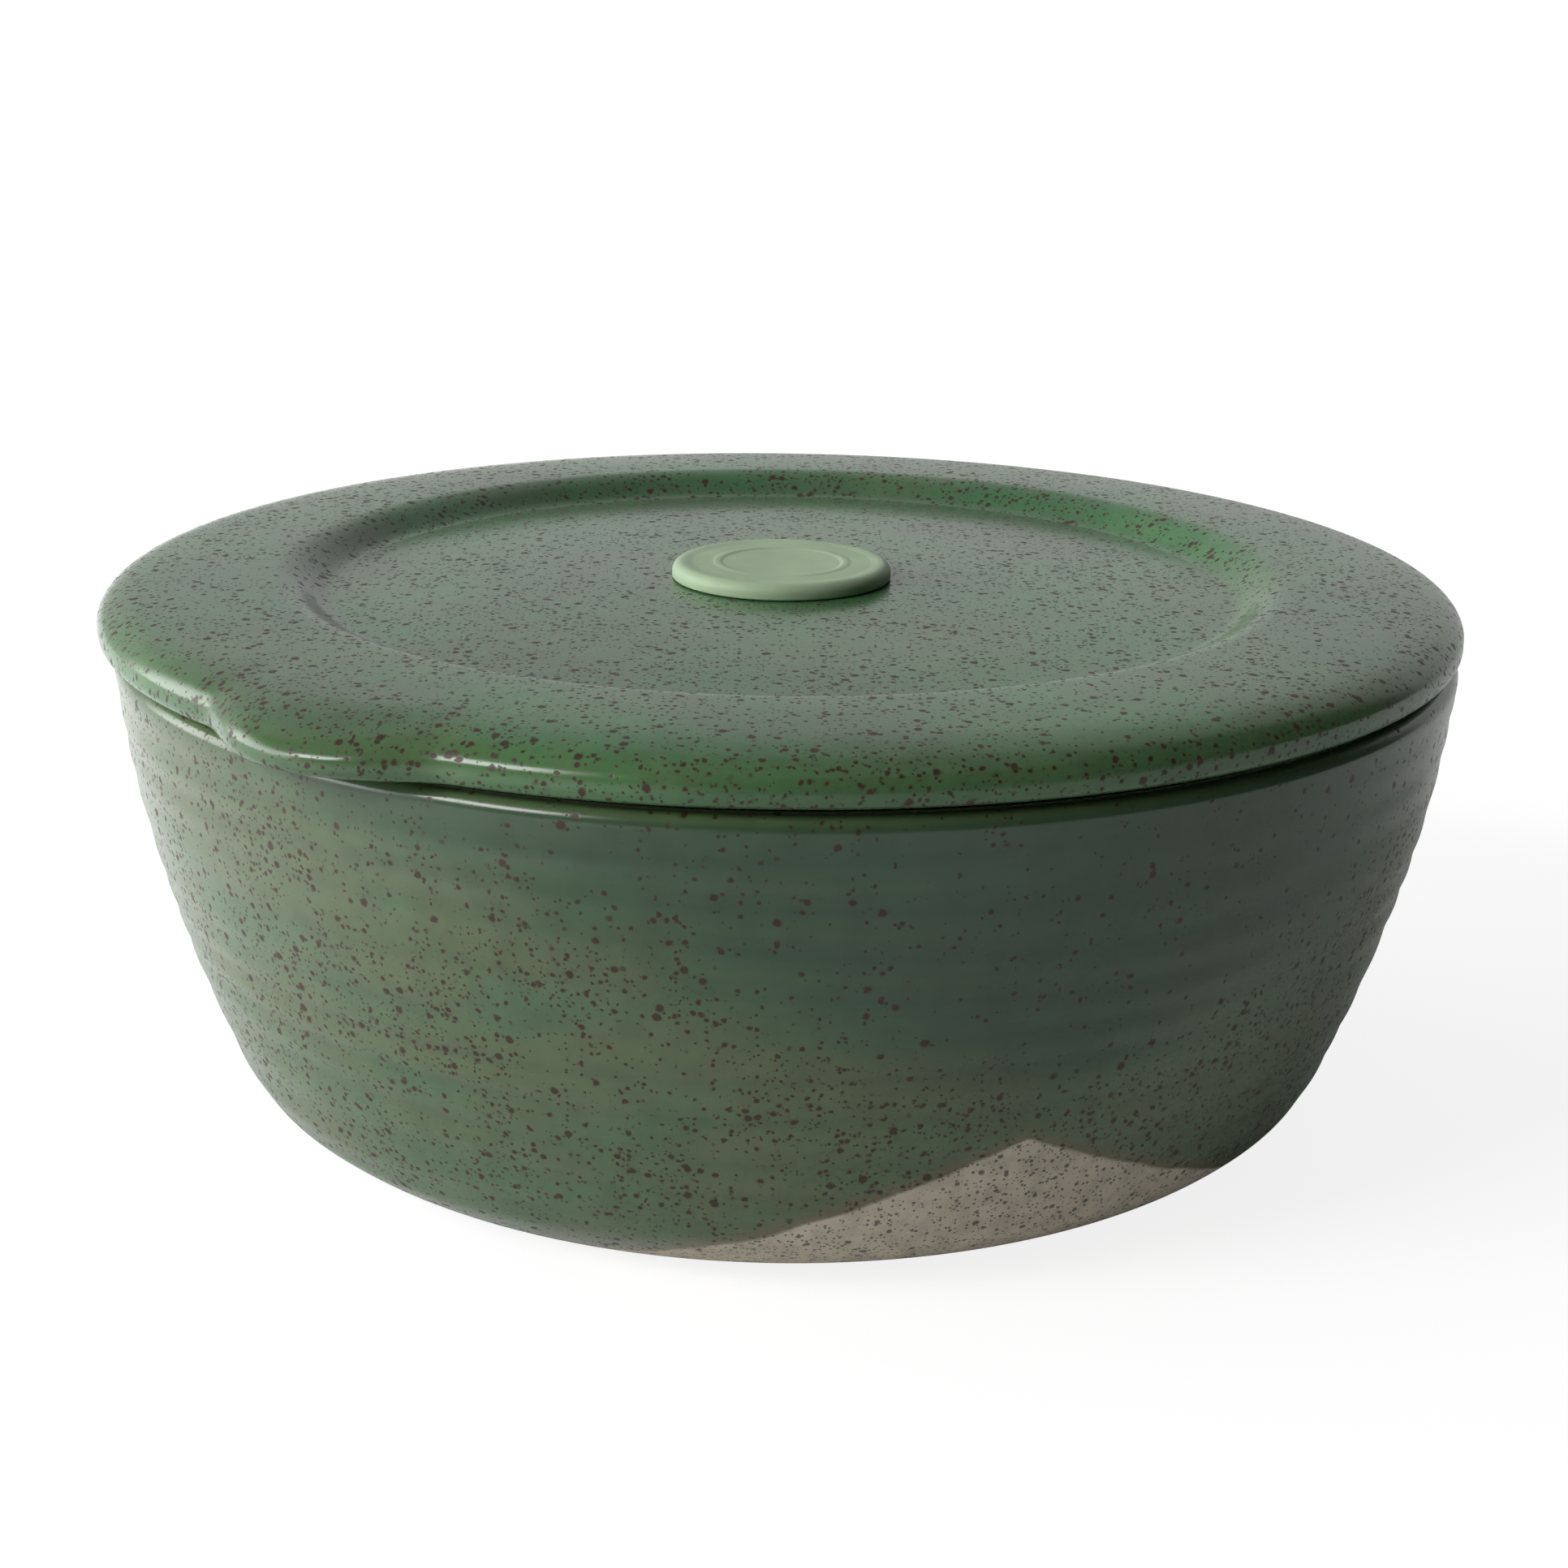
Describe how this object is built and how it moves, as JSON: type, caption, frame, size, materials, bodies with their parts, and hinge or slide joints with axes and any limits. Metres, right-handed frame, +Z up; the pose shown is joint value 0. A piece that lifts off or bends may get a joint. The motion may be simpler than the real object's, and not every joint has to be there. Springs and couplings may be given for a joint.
{
  "type": "lidded ceramic bowl",
  "caption": "Round glazed stoneware food bowl with a flat ceramic lid, thumb tab, silicone seal and silicone steam-vent plug.",
  "frame": {"origin": "centre of the foot ring, on the plane that the bowl stands on", "axes": "+Z up along the bowl's axis; -Y faces the user, with the lid's thumb tab at the front left"},
  "size_m": [0.18, 0.18, 0.0751],
  "materials": {
    "bowl_glaze": "glossy speckled green glaze, dipped at a slant over bare speckled cream stoneware",
    "lid_glaze": "glossy speckled green glaze",
    "seal_silicone": "matte translucent silicone",
    "plug_silicone": "matte pale sage silicone"
  },
  "bodies": {
    "bowl": {"bowl": "bowl_glaze"},
    "seal": {"seal_ring": "seal_silicone"},
    "lid": {"lid": "lid_glaze"},
    "vent": {"vent_plug": "plug_silicone"}
  },
  "joints": [
    {"name": "lid_lift", "type": "slide", "parent": "bowl", "child": "seal", "axis": [0, 0, 1], "range_m": [0, 0.12]},
    {"name": "lid_turn", "type": "hinge", "parent": "seal", "child": "lid", "pos_m": [0, 0, 0.0679], "axis": [0, 0, 1], "continuous": true},
    {"name": "vent_lift", "type": "slide", "parent": "lid", "child": "vent", "axis": [0, 0, 1], "range_m": [0, 0.004]}
  ]
}
